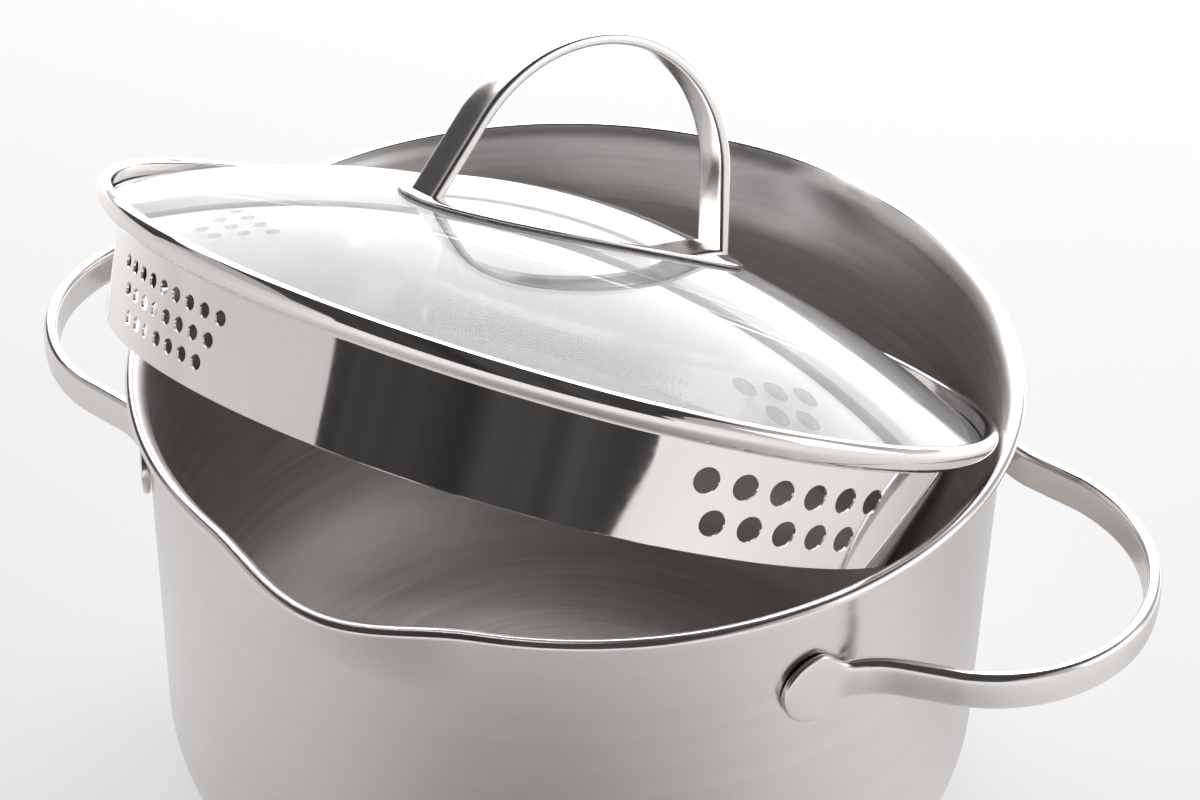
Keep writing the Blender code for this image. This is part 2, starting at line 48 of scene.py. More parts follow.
def linear(hexColour):
    channels = []
    for start in (0, 2, 4):
        value = int(hexColour[start:start + 2], 16) / 255
        channels.append(value / 12.92 if value <= 0.04045 else ((value + 0.055) / 1.055) ** 2.4)
    return (*channels, 1)


def addNode(tree, kind, place, settings=None, values=None, links=None):
    node = tree.nodes.new(kind)
    node.location = place
    for key, value in (settings or {}).items():
        setattr(node, key, value)
    for key, value in (values or {}).items():
        node.inputs[key].default_value = value
    for key, source in (links or {}).items():
        tree.links.new(source, node.inputs[key])
    return node


def newMaterial(name, colour, roughness, metallic=1.0):
    material = bpy.data.materials.new(name)
    material.use_nodes = True
    tree = material.node_tree
    shader = tree.nodes["Principled BSDF"]
    shader.inputs["Base Color"].default_value = linear(colour)
    shader.inputs["Roughness"].default_value = roughness
    shader.inputs["Metallic"].default_value = metallic
    return material, tree, shader


def varyColour(tree, shader, source, dark, light):
    blend = addNode(tree, "ShaderNodeMix", (-250, 250), {"data_type": "RGBA"},
                    {"A": linear(dark), "B": linear(light)}, {"Factor": source})
    tree.links.new(blend.outputs["Result"], shader.inputs["Base Color"])


def addBump(tree, shader, height, strength, distance):
    bump = addNode(tree, "ShaderNodeBump", (-250, -300), values={"Strength": strength, "Distance": distance},
                   links={"Height": height})
    tree.links.new(bump.outputs["Normal"], shader.inputs["Normal"])


def varyRoughness(tree, shader, source, low, high):
    between = addNode(tree, "ShaderNodeMapRange", (-250, 0), values={"To Min": low, "To Max": high},
                      links={"Value": source})
    tree.links.new(between.outputs["Result"], shader.inputs["Roughness"])


def unevenness(tree, place, millimetres, detail=2.0):
    # Soft cells of about this width over the whole piece.
    coordinates = addNode(tree, "ShaderNodeTexCoord", (place[0] - 300, place[1]))
    cells = addNode(tree, "ShaderNodeTexNoise", place, links={"Vector": coordinates.outputs["Object"]},
                    values={"Scale": 1000 / millimetres, "Detail": detail})
    return cells.outputs["Fac"]


def brushing(tree, streakLength, streakWidth, detail=2.0):
    # Streaks round the pot's axis, side by side along the radius on the floor and up the wall. Sizes are in
    # millimetres. Real brush marks are finer and wouldn't show in a picture of the whole pot.
    coordinates = addNode(tree, "ShaderNodeTexCoord", (-1500, 0))
    parts = addNode(tree, "ShaderNodeSeparateXYZ", (-1340, 0),
                    links={"Vector": coordinates.outputs["Object"]})
    flat = addNode(tree, "ShaderNodeCombineXYZ", (-1180, 100),
                   links={"X": parts.outputs["X"], "Y": parts.outputs["Y"]})
    radius = addNode(tree, "ShaderNodeVectorMath", (-1020, 100), {"operation": "LENGTH"},
                     links={0: flat.outputs["Vector"]})
    ring = addNode(tree, "ShaderNodeMath", (-860, 60), {"operation": "SUBTRACT"},
                   links={0: radius.outputs["Value"], 1: parts.outputs["Z"]})
    place = addNode(tree, "ShaderNodeCombineXYZ", (-700, 0),
                    links={"X": parts.outputs["X"], "Y": parts.outputs["Y"], "Z": ring.outputs["Value"]})
    density = (1000 / streakLength, 1000 / streakLength, 1000 / streakWidth)
    stretched = addNode(tree, "ShaderNodeVectorMath", (-540, 0), {"operation": "MULTIPLY"}, {1: density},
                        {0: place.outputs["Vector"]})
    streaks = addNode(tree, "ShaderNodeTexNoise", (-400, 60), values={"Scale": 1.0, "Detail": detail},
                      links={"Vector": stretched.outputs["Vector"]})
    return streaks.outputs["Fac"]


def makeInsideSteel():
    # Stainless steel brushed in circles: grey rings whose highlights run across the brushing.
    material, tree, shader = newMaterial("brushed stainless steel", "E4E1DE", 0.4)
    streaks = brushing(tree, 62.5, 2.38, 5.0)
    coordinates = addNode(tree, "ShaderNodeTexCoord", (-900, 500))
    parts = addNode(tree, "ShaderNodeSeparateXYZ", (-740, 500),
                    links={"Vector": coordinates.outputs["Object"]})
    # The floor, up to 45 mm above the table, is brushed more coarsely than the wall and scatters more light.
    coarse = addNode(tree, "ShaderNodeMapRange", (-580, 500), links={"Value": parts.outputs["Z"]}, values={
        "From Min": 0.01, "From Max": 0.045, "To Min": 0.46, "To Max": 0.26})
    bright = addNode(tree, "ShaderNodeMapRange", (-580, 760), links={"Value": parts.outputs["Z"]}, values={
        "From Min": 0.02, "From Max": 0.045, "To Min": 0.86, "To Max": 1.0})
    uneven = addNode(tree, "ShaderNodeMath", (-400, 500), {"operation": "MULTIPLY_ADD"}, {1: 0.16},
                     {0: streaks, 2: coarse.outputs["Result"]})
    tree.links.new(uneven.outputs["Value"], shader.inputs["Roughness"])
    tree.links.new(bright.outputs["Result"], shader.inputs["Metallic"])
    varyColour(tree, shader, streaks, "C6C2BE", "FCF8F4")
    addBump(tree, shader, streaks, 0.3, 0.00004)
    shader.inputs["Anisotropic"].default_value = 0.7
    shader.inputs["Anisotropic Rotation"].default_value = 0.25
    tangent = addNode(tree, "ShaderNodeTangent", (-250, -150), {"direction_type": "RADIAL", "axis": "Z"})
    tree.links.new(tangent.outputs["Tangent"], shader.inputs["Tangent"])
    return material


def makeOutsideSteel():
    # Stainless steel with a satin polish: soft reflections with faint rings in them.
    material, tree, shader = newMaterial("satin stainless steel", "CFCBC8", 0.2)
    streaks = brushing(tree, 111, 4.17, 4.0)
    varyRoughness(tree, shader, streaks, 0.16, 0.26)
    varyColour(tree, shader, streaks, "C9C5C2", "D5D1CE")
    addBump(tree, shader, streaks, 0.08, 0.00003)
    return material


def makePolishedSteel():
    # Pressed sheet with a mirror polish: sharp reflections, bent a little by waves in the sheet.
    material, tree, shader = newMaterial("polished stainless steel", "D6D1CD", 0.05)
    waves = unevenness(tree, (-600, -200), 35.7, 1.0)
    haze = unevenness(tree, (-600, 100), 2.5)
    varyRoughness(tree, shader, haze, 0.03, 0.08)
    addBump(tree, shader, waves, 0.1, 0.0004)
    return material


def makeBarSteel():
    # Bar stock buffed by hand: reflections are clear but softened by fine marks.
    material, tree, shader = newMaterial("buffed stainless steel", "D3CFCC", 0.14)
    marks = unevenness(tree, (-600, 100), 1.43, 3.0)
    varyRoughness(tree, shader, marks, 0.13, 0.23)
    addBump(tree, shader, marks, 0.06, 0.00005)
    return material


def makeGlass():
    # Tempered float glass: clear, faintly blue, and a little milky against the light.
    material, tree, shader = newMaterial("clear glass", "F3F3F6", 0.0, 0.0)
    shader.inputs["Transmission Weight"].default_value = 0.8
    shader.inputs["IOR"].default_value = 1.5
    return material


def makeDotPrint():
    # Ceramic print fired on the glass: thin grey, half seen through.
    material, tree, shader = newMaterial("grey frosted print", "A9A8AC", 0.5, 0.0)
    varyRoughness(tree, shader, unevenness(tree, (-600, 0), 1.11), 0.4, 0.6)
    shader.inputs["Alpha"].default_value = 0.3
    return material


def makeSilicone():
    # Moulded silicone: dull grey with a fine dimpled skin.
    material, tree, shader = newMaterial("grey silicone", "6B6B6D", 0.55, 0.0)
    addBump(tree, shader, unevenness(tree, (-600, 0), 0.833), 0.2, 0.0001)
    return material


def makeAluminium():
    # A disc punched from rolled aluminium plate: matt, with streaky marks.
    material, tree, shader = newMaterial("rolled aluminium", "B9B9BC", 0.4)
    varyRoughness(tree, shader, brushing(tree, 200, 1.25), 0.35, 0.5)
    return material


# Mesh helpers

def arc(centre, radius, start, end, segments):
    points = []
    for step in range(segments + 1):
        angle = start + (end - start) * step / segments
        points.append((centre[0] + radius * math.cos(angle), centre[1] + radius * math.sin(angle)))
    return points


def bezier(a, b, c, d, segments):
    points = []
    for step in range(segments + 1):
        t = step / segments
        s = 1 - t
        weights = (s * s * s, 3 * s * s * t, 3 * s * t * t, t * t * t)
        points.append(tuple(sum(w * p[axis] for w, p in zip(weights, (a, b, c, d))) for axis in (0, 1)))
    return points


def distinct(points):
    kept = [points[0]]
    for point in points[1:]:
        if math.dist(point, kept[-1]) > weld:
            kept.append(point)
    return kept


def offsetRight(points, distance):
    # The same outline moved to the right of its own direction.
    moved = []
    last = len(points) - 1
    for index, point in enumerate(points):
        before = Vector(points[max(index - 1, 0)])
        here = Vector(point)
        after = Vector(points[min(index + 1, last)])
        incoming = (here - before).normalized() if index > 0 else (after - here).normalized()
        outgoing = (after - here).normalized() if index < last else incoming
        normal = Vector((incoming.y + outgoing.y, -incoming.x - outgoing.x)).normalized()
        stretch = 1 / max(normal.dot(Vector((outgoing.y, -outgoing.x))), 0.5)
        moved.append(tuple(here + normal * distance * stretch))
    return moved


def smoothStep(value):
    value = min(max(value, 0.0), 1.0)
    return value * value * (3 - 2 * value)


def spinProfile(mesh, profile, steps, slot=0):
    known = set(mesh.faces)
    corners = [mesh.verts.new((radius, 0, height)) for radius, height in profile]
    edges = [mesh.edges.new(pair) for pair in zip(corners, corners[1:])]
    bmesh.ops.spin(mesh, geom=corners + edges, cent=(0, 0, 0), axis=(0, 0, 1), angle=2 * math.pi,
                   steps=steps, use_merge=True)
    for face in mesh.faces:
        if face not in known:
            face.material_index = slot


def barSection(halfThickness, halfHeight, radius, crown, segments=4):
    # A rounded upright rectangle, as (across, up) points. crown is the share by which it thins at its edges.
    radius = min(radius, halfThickness * 0.95, halfHeight * 0.95)
    inset = halfThickness - radius
    drop = halfHeight - radius
    face = [drop * (1 - step / 4) for step in range(1, 8)]
    points = []
    for quarter, (x, y) in enumerate(((inset, drop), (-inset, drop), (-inset, -drop), (inset, -drop))):
        points += arc((x, y), radius, quarter * math.pi / 2, (quarter + 1) * math.pi / 2, segments)
        if quarter == 1:
            points += [(-halfThickness, up) for up in face]
    points += [(halfThickness, -up) for up in face]
    return [(across * (1 - crown * (up / halfHeight) ** 2), up) for across, up in points]


def sweep(mesh, sections):
    rings = []
    for section in sections:
        corners = [mesh.verts.new(point) for point in section]
        rings.append([mesh.edges.new((corners[index - 1], corners[index])) for index in range(len(corners))])
    for ring, following in zip(rings, rings[1:]):
        bmesh.ops.bridge_loops(mesh, edges=ring + following)
    for ring in (rings[0], rings[-1]):
        bmesh.ops.edgeloop_fill(mesh, edges=ring)


def finishMesh(mesh, name, materials, body, nodes, sharp=40):
    bmesh.ops.remove_doubles(mesh, verts=mesh.verts, dist=weld)
    bmesh.ops.recalc_face_normals(mesh, faces=mesh.faces)
    data = bpy.data.meshes.new(name)
    mesh.to_mesh(data)
    mesh.free()
    data.shade_smooth()
    data.set_sharp_from_angle(angle=math.radians(sharp))
    item = bpy.data.objects.new(name, data)
    bpy.context.scene.collection.objects.link(item)
    for material in materials:
        data.materials.append(material)
    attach(item, body)
    if nodes:
        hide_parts(*nodes)
    return item


def applyModifiers(item):
    graph = bpy.context.evaluated_depsgraph_get()
    data = bpy.data.meshes.new_from_object(item.evaluated_get(graph))
    item.modifiers.clear()
    item.data = data
    data.shade_smooth()
    return data


# Pot body

pot = {
    "height": 0.1525,
    "innerRadius": 0.1197,
    "wall": 0.0008,
    "cornerRadius": 0.034,
    "bottom": 0.0052,
    "rimOverhang": 0.005,
    "rollRadius": 0.0015,
    "flareAngle": 52,
    "edgeDrop": 0.0003,
    "lipReach": 0.0053,
    "lipDip": 0.003,
    "lipDepth": 0.028,
    "lipHalfAngle": 19.5,
    "lipTurn": -3.7,
    "flareSteps": 12,
    "cornerSteps": 20,
    "wallSteps": 10,
    "rollSteps": 14,
    "steps": 288,
}
rimRadius = pot["innerRadius"] + pot["wall"] + pot["rimOverhang"]


def rimPath():
    flareAngle = math.radians(pot["flareAngle"])
    sheetRadius = pot["innerRadius"] + pot["wall"] / 2
    overhang = rimRadius - pot["wall"] / 2 - sheetRadius
    flareRadius = (overhang - pot["rollRadius"] * (1 + math.cos(flareAngle))) / (1 - math.cos(flareAngle))
    rise = pot["rollRadius"] * (1 - math.sin(flareAngle))
    start = pot["height"] - pot["wall"] / 2 - rise - flareRadius * math.sin(flareAngle)
    flare = arc((sheetRadius + flareRadius, start), flareRadius, math.pi, math.pi - flareAngle,
                pot["flareSteps"])
    heading = math.pi / 2 - flareAngle
    radius, height = flare[-1]
    centre = (radius + pot["rollRadius"] * math.sin(heading), height - pot["rollRadius"] * math.cos(heading))
    roll = arc(centre, pot["rollRadius"], math.pi / 2 + heading, 0, pot["rollSteps"])
    edge = [(centre[0] + pot["rollRadius"], centre[1] - pot["edgeDrop"])]
    return distinct(flare + roll + edge), start


def pressLips(mesh):
    # Draws the rim out and down on two opposite sides.
    halfAngle = math.radians(pot["lipHalfAngle"])
    lipTurn = math.radians(pot["lipTurn"])
    for vertex in mesh.verts:
        x, y, z = vertex.co
        radius = math.hypot(x, y)
        if radius < pot["innerRadius"] / 2:
            continue
        across = x * math.cos(lipTurn) + y * math.sin(lipTurn)
        along = y * math.cos(lipTurn) - x * math.sin(lipTurn)
        turn = math.atan2(abs(across), abs(along))
        if turn >= halfAngle:
            continue
        window = math.cos(math.pi / 2 * turn / halfAngle) ** 2
        rise = smoothStep((z - (pot["height"] - pot["lipDepth"])) / pot["lipDepth"])
        grown = (radius + pot["lipReach"] * window * rise) / radius
        vertex.co = (x * grown, y * grown, z - pot["lipDip"] * window * rise)


def makePotBody(insideSteel, outsideSteel, rimSteel):
    outerRadius = pot["innerRadius"] + pot["wall"]
    path, flareStart = rimPath()
    corner = (outerRadius - pot["cornerRadius"], pot["bottom"] + pot["cornerRadius"])
    lipStart = pot["height"] - pot["lipDepth"]
    wallSteps = pot["wallSteps"]
    levels = [lipStart + (flareStart - lipStart) * step / wallSteps for step in range(wallSteps + 1)]
    inner = [(0, pot["bottom"] + pot["wall"])]
    inner += arc(corner, pot["cornerRadius"] - pot["wall"], -math.pi / 2, 0, pot["cornerSteps"])
    inner += [(pot["innerRadius"], level) for level in levels]
    outer = [(0, pot["bottom"])]
    outer += arc(corner, pot["cornerRadius"], -math.pi / 2, 0, pot["cornerSteps"])
    outer += [(outerRadius, level) for level in levels]
    rimTop = offsetRight(path, -pot["wall"] / 2)
    flareEnd = pot["flareSteps"]
    roll = rimTop[flareEnd:] + offsetRight(path, pot["wall"] / 2)[::-1]
    mesh = bmesh.new()
    spinProfile(mesh, distinct(inner + rimTop[:flareEnd + 1]), pot["steps"], 0)
    spinProfile(mesh, distinct(outer), pot["steps"], 1)
    spinProfile(mesh, distinct(roll + [outer[-1]]), pot["steps"], 2)
    bmesh.ops.remove_doubles(mesh, verts=mesh.verts, dist=weld)
    pressLips(mesh)
    return finishMesh(mesh, "pot_body_steel", [insideSteel, outsideSteel, rimSteel], "pot", ["pot_body"])


# Loop handles

loop = {
    "reach": 0.0469,
    "drop": 0.0322,
    "barHeight": 0.0115,
    "barThickness": 0.0044,
    "paddleHeight": 0.0216,
    "paddleThickness": 0.0024,
    "paddleLength": 0.0145,
    "paddleNeck": 0.0095,
    "paddleLift": 0.0007,
    "apexRadius": 0.0487,
    "apexTurn": 70.5,
    "shoulderRadius": 0.0192,
    "shoulderTurn": 7,
    "swanRadius": 0.0238,
    "edgeRadius": 0.0017,
    "crown": 0.2,
}


def handlePath():
    # Half of the right loop seen from above: the apex, the shoulder, a straight leg, the swan neck and the
    # paddle on the wall.
    wallRadius = pot["innerRadius"] + pot["wall"] + gap + loop["paddleThickness"] / 2
    apex = rimRadius + loop["reach"] - loop["barThickness"] / 2
    apexTurn = math.radians(loop["apexTurn"])
    shoulderTurn = math.radians(loop["shoulderTurn"])
    centre = Vector((apex - loop["apexRadius"], 0))
    points = arc(centre, loop["apexRadius"], 0, apexTurn, 20)
    inward = Vector((math.cos(apexTurn), math.sin(apexTurn)))
    centre = centre + inward * (loop["apexRadius"] - loop["shoulderRadius"])
    turn = apexTurn + shoulderTurn
    points += arc(centre, loop["shoulderRadius"], apexTurn, turn, 10)[1:]
    heading = Vector((-math.sin(turn), math.cos(turn)))
    outward = Vector((heading.y, -heading.x))
    start = Vector(points[-1]) + outward * loop["swanRadius"]
    reach = wallRadius + loop["swanRadius"]
    along = start.dot(heading)
    leg = -along - math.sqrt(along * along - start.length_squared + reach * reach)
    swanCentre = start + heading * leg
    meeting = math.atan2(swanCentre.y, swanCentre.x)
    leaving = math.atan2(-outward.y, -outward.x)
    points += arc(swanCentre, loop["swanRadius"], leaving + 2 * math.pi, meeting + math.pi, 20)
    roundShare = loop["paddleHeight"] / 2 / loop["paddleLength"]
    stations = [(1 - roundShare) * step / 8 for step in range(1, 8)]
    stations += [1 - roundShare * (1 - math.sin(math.radians(angle))) for angle in (*range(0, 90, 6), 88)]
    for station in stations:
        angle = meeting + loop["paddleLength"] / wallRadius * station
        points.append((wallRadius * math.cos(angle), wallRadius * math.sin(angle)))
    return distinct(points)


def handleSections():
    path = handlePath()
    lengths = [0.0]
    for first, second in zip(path, path[1:]):
        lengths.append(lengths[-1] + math.dist(first, second))
    tipRadius = loop["paddleHeight"] / 2
    half = []
    for index, point in enumerate(path):
        fromTip = lengths[-1] - lengths[index] + 0.00001  # so that the end isn't quite a point
        widen = 1 - smoothStep((fromTip - tipRadius) / loop["paddleNeck"])
        thin = 1 - smoothStep((fromTip - loop["paddleLength"]) / loop["paddleNeck"])
        halfHeight = loop["barHeight"] / 2 + (loop["paddleHeight"] - loop["barHeight"]) / 2 * widen
        if fromTip < tipRadius:
            halfHeight = math.sqrt(tipRadius ** 2 - (tipRadius - fromTip) ** 2)
        halfThickness = (loop["barThickness"] + (loop["paddleThickness"] - loop["barThickness"]) * thin) / 2
        before = Vector(path[max(index - 1, 0)])
        after = Vector(path[min(index + 1, len(path) - 1)])
        forward = (after - before).normalized() if index else Vector((0, 1))
        side = Vector((forward.y, -forward.x))
        middle = pot["height"] - loop["drop"] + loop["paddleLift"] * widen
        section = []
        for across, up in barSection(halfThickness, halfHeight, loop["edgeRadius"], loop["crown"]):
            place = Vector(point) + side * across
            section.append((place.x, place.y, middle + up))
        half.append(section)
    mirrored = [[(x, -y, z) for x, y, z in section] for section in half[:0:-1]]
    return mirrored + half


def makeHandle(name, node, turn, steel):
    mesh = bmesh.new()
    sweep(mesh, handleSections())
    bmesh.ops.rotate(mesh, verts=mesh.verts, cent=(0, 0, 0), matrix=Matrix.Rotation(turn, 3, "Z"))
    return finishMesh(mesh, name, [steel], "pot", [node], sharp=50)


# Lid band, made level with the bead's top at height 0, then tilted into the pot

lidPose = {"tilt": 29.51, "lowSide": 84.75, "turn": -26.36, "place": (-0.0009, -0.0123, 0.17893)}
band = {
    "sheet": 0.0006,
    "lipWidth": 0.0031,
    "rollRadius": 0.0014,
    "lipDepth": 0.0044,
    "beadDepth": 0.0085,
    "bulgeOver": 0.0024,
    "bulgeUnder": 0.0015,
    "ledgeRise": 0.0008,
    "skirtClearance": 0.0013,
    "skirtHeight": 0.0272,
    "skirtTaper": 0.0032,
    "steps": 288,
}
fineHoles = {
    "radius": 0.002,
    "pitch": 0.00634,
    "rows": (9, 8, 7),
    "rowPitch": 0.0066,
    "top": 0.0156,
    "at": 180,
}
coarseHoles = {
    "radius": 0.0035,
    "pitch": 0.0109,
    "rows": (6, 5),
    "rowPitch": 0.0104,
    "top": 0.0171,
    "at": -90,
}
punchLength = 0.012
lipRadius = rimRadius - band["lipWidth"]
skirtTop = pot["innerRadius"] - band["skirtClearance"]
skirtFoot = skirtTop - band["skirtTaper"]
skirtBottom = -band["beadDepth"] - band["skirtHeight"]


def tiltIntoPot(data):
    lowSide, tilt, turn = (math.radians(lidPose[key]) for key in ("lowSide", "tilt", "turn"))
    tilted = Matrix.Rotation(lowSide, 4, "Z") @ Matrix.Rotation(tilt, 4, "Y") @ Matrix.Rotation(turn, 4, "Z")
    data.transform(Matrix.Translation(lidPose["place"]) @ tilted)


def beadPath():
    centre = (lipRadius + band["rollRadius"], -band["rollRadius"])
    path = [(lipRadius, -band["lipDepth"])]
    path += arc(centre, band["rollRadius"], math.pi, math.pi / 2, 10)
    over = (rimRadius + band["bulgeOver"], 0)
    under = (rimRadius + band["bulgeUnder"], -band["beadDepth"] + band["ledgeRise"])
    path += bezier(path[-1], over, under, (skirtTop, -band["beadDepth"]), 24)
    return distinct(path)


def addPunches(mesh, holes):
    middle = (skirtTop + skirtFoot) / 2
    for row, count in enumerate(holes["rows"]):
        height = -(holes["top"] + holes["rowPitch"] * row)
        for column in range(count):
            angle = math.radians(holes["at"]) + (column - (count - 1) / 2) * holes["pitch"] / middle
            place = (Matrix.Rotation(angle, 4, "Z") @ Matrix.Translation((middle, 0, height))
                     @ Matrix.Rotation(math.pi / 2, 4, "Y"))
            bmesh.ops.create_cone(mesh, cap_ends=True, segments=32, radius1=holes["radius"],
                                  radius2=holes["radius"], depth=punchLength, matrix=place)


def makePunches():
    mesh = bmesh.new()
    addPunches(mesh, fineHoles)
    addPunches(mesh, coarseHoles)
    data = bpy.data.meshes.new("strainer_holes")
    mesh.to_mesh(data)
    mesh.free()
    item = bpy.data.objects.new("strainer_holes", data)
    bpy.context.scene.collection.objects.link(item)
    return item


def smoothSkirt(data):
    # The boolean leaves many-sided faces, so the skirt's normals are set as those of its cone.
    slope = math.atan2(skirtTop - skirtFoot, band["skirtHeight"])
    ledge = 0.0002 - band["beadDepth"]  # a little above the skirt's first ring
    normals = [Vector(corner.vector) for corner in data.corner_normals]
    for face in data.polygons:
        if max(data.vertices[index].co.z for index in face.vertices) > ledge:
            continue
        outward = Vector((face.center.x, face.center.y, 0)).normalized()
        outwardness = face.normal.dot(outward)
        if abs(outwardness) < 0.97:  # the wall of a hole
            continue
        for corner in face.loop_indices:
            point = data.vertices[data.loops[corner].vertex_index].co
            across = Vector((point.x, point.y, 0)).normalized()
            normal = across * math.cos(slope) - Vector((0, 0, math.sin(slope)))
            normals[corner] = normal if outwardness > 0 else -normal
    data.normals_split_custom_set([tuple(normal) for normal in normals])


def makeBand(steel):
    outer = beadPath() + [(skirtFoot, skirtBottom)]
    inner = offsetRight(outer, band["sheet"])
    edge = ((outer[-1][0] + inner[-1][0]) / 2, skirtBottom - band["sheet"] * 0.35)
    profile = distinct(outer + [edge] + inner[::-1])
    mesh = bmesh.new()
    spinProfile(mesh, profile + [profile[0]], band["steps"])
    item = finishMesh(mesh, "lid_band_steel", [steel], "lid", ["lid_band"])
    punches = makePunches()
    cut = item.modifiers.new("Punch", "BOOLEAN")
    cut.operation = "DIFFERENCE"
    cut.solver = "EXACT"
    cut.object = punches
    data = applyModifiers(item)
    bpy.data.objects.remove(punches, do_unlink=True)
    data.set_sharp_from_angle(angle=math.radians(40))
    smoothSkirt(data)
    tiltIntoPot(data)
    return item


# Lid glass and the marks printed on it

glass = {"thickness": 0.0026, "sphereRadius": 0.2806, "edgeCover": 0.0006, "rings": 40}
fineDots = {
    "radius": 0.0017,
    "pitch": 0.0063,
    "rows": (4, 3, 2),
    "rowPitch": 0.006,
    "centre": 0.1048,
    "at": 181.3,
}
coarseDots = {
    "radius": 0.0034,
    "pitch": 0.0097,
    "rows": (3, 2),
    "rowPitch": 0.0094,
    "centre": 0.1064,
    "at": -91.9,
}
printThickness = 0.00005


def glassHeight(radius):
    drop = math.sqrt(glass["sphereRadius"] ** 2 - lipRadius ** 2)
    return math.sqrt(glass["sphereRadius"] ** 2 - radius ** 2) - drop - band["lipDepth"] - gap


def makeGlassDome(material):
    edgeRound = glass["thickness"] / 2
    edgeRadius = lipRadius + glass["edgeCover"] - edgeRound
    slope = math.asin(edgeRadius / glass["sphereRadius"])
    centre = (edgeRadius - edgeRound * math.sin(slope),
              glassHeight(edgeRadius) - edgeRound * math.cos(slope))
    edge = arc(centre, edgeRound, math.pi / 2 - slope, -math.pi / 2 - slope, 10)
    underRadius = glass["sphereRadius"] - glass["thickness"]
    drop = math.sqrt(underRadius ** 2 - edge[-1][0] ** 2) - edge[-1][1]
    top = []
    under = []
    for ring in range(glass["rings"]):
        above = edgeRadius * ring / glass["rings"]
        below = edge[-1][0] * ring / glass["rings"]
        top.append((above, glassHeight(above)))
        under.append((below, math.sqrt(underRadius ** 2 - below ** 2) - drop))
    mesh = bmesh.new()
    spinProfile(mesh, distinct(top + edge + under[::-1]), band["steps"])
    item = finishMesh(mesh, "lid_glass_dome", [material], "lid", ["lid_glass"], sharp=60)
    tiltIntoPot(item.data)
    return item


def makeDotMarks(name, dots, material):
    mesh = bmesh.new()
    toward = Vector((math.cos(math.radians(dots["at"])), math.sin(math.radians(dots["at"])), 0))
    side = Vector((-toward.y, toward.x, 0))
    rowCount = len(dots["rows"])
    for row, count in enumerate(dots["rows"]):
        away = dots["centre"] + (row - (rowCount - 1) / 2) * dots["rowPitch"]
        for column in range(count):
            middle = toward * away + side * (column - (count - 1) / 2) * dots["pitch"]
            bmesh.ops.create_circle(mesh, cap_ends=True, cap_tris=True, segments=28, radius=dots["radius"],
                                    matrix=Matrix.Translation(middle))
    for vertex in mesh.verts:
        vertex.co.z = glassHeight(math.hypot(vertex.co.x, vertex.co.y)) + printThickness
    item = finishMesh(mesh, name, [material], "lid", [])
    tiltIntoPot(item.data)
    return item


# Oval plate and arch handle

plate = {"length": 0.108, "width": 0.07, "sheet": 0.001, "crown": 0.002, "rings": 24, "steps": 96}
arch = {
    "width": 0.0116,
    "thickness": 0.0035,
    "radius": 0.0438,
    "lean": 19.3,
    "height": 0.0721,
    "edgeRadius": 0.0009,
    "crown": 0.18,
    "steps": 72,
}


def plateHeight(x, y):
    share = (x / (plate["length"] / 2)) ** 2 + (y / (plate["width"] / 2)) ** 2
    return glassHeight(math.hypot(x, y)) + gap + plate["crown"] * (1 - share)


def makePlate(steel):
    mesh = bmesh.new()
    spinProfile(mesh, [(ring / plate["rings"], 0) for ring in range(plate["rings"] + 1)], plate["steps"])
    bmesh.ops.remove_doubles(mesh, verts=mesh.verts, dist=weld)
    for vertex in mesh.verts:
        x = vertex.co.x * plate["length"] / 2
        y = vertex.co.y * plate["width"] / 2
        vertex.co = (x, y, plateHeight(x, y))
    item = finishMesh(mesh, "lid_handle_plate_steel", [steel], "lid", ["lid_handle_plate"])
    if item.data.polygons[0].normal.z < 0:
        item.data.flip_normals()
    sheet = item.modifiers.new("Sheet", "SOLIDIFY")
    sheet.thickness = plate["sheet"]
    sheet.offset = 1
    edge = item.modifiers.new("Rounded edge", "BEVEL")
    edge.width = plate["sheet"] * 0.4
    edge.segments = 3
    edge.angle_limit = math.radians(50)
    tiltIntoPot(applyModifiers(item))
    return item


def makeArch(steel):
    lean = math.radians(arch["lean"])
    top = arc((0, arch["height"] - arch["radius"]), arch["radius"], lean, math.pi - lean,
              arch["steps"])
    footHeight = glassHeight(plate["length"] / 2) + plate["sheet"]
    leg = (top[0][1] - footHeight) / math.cos(lean)
    feet = [(top[0][0] + leg * share * math.sin(lean), top[0][1] - leg * share * math.cos(lean))
            for share in (1, 0.75, 0.5, 0.25)]
    path = feet + top + [(-x, height) for x, height in feet[::-1]]
    outline = barSection(arch["thickness"] / 2, arch["width"] / 2, arch["edgeRadius"], arch["crown"])
    sections = []
    for index, point in enumerate(path):
        before = Vector(path[max(index - 1, 0)])
        after = Vector(path[min(index + 1, len(path) - 1)])
        forward = (after - before).normalized()
        side = Vector((forward.y, -forward.x))
        places = [(Vector(point) + side * across, sideways) for across, sideways in outline]
        sections.append([(place.x, sideways, place.y) for place, sideways in places])
    mesh = bmesh.new()
    sweep(mesh, sections)
    item = finishMesh(mesh, "lid_arch_handle", [steel], "lid", ["lid_handle"], sharp=50)
    tiltIntoPot(item.data)
    return item


# Studio. Directions are about the pot, 0 along +X, seen from above. Strengths of 1 are white.

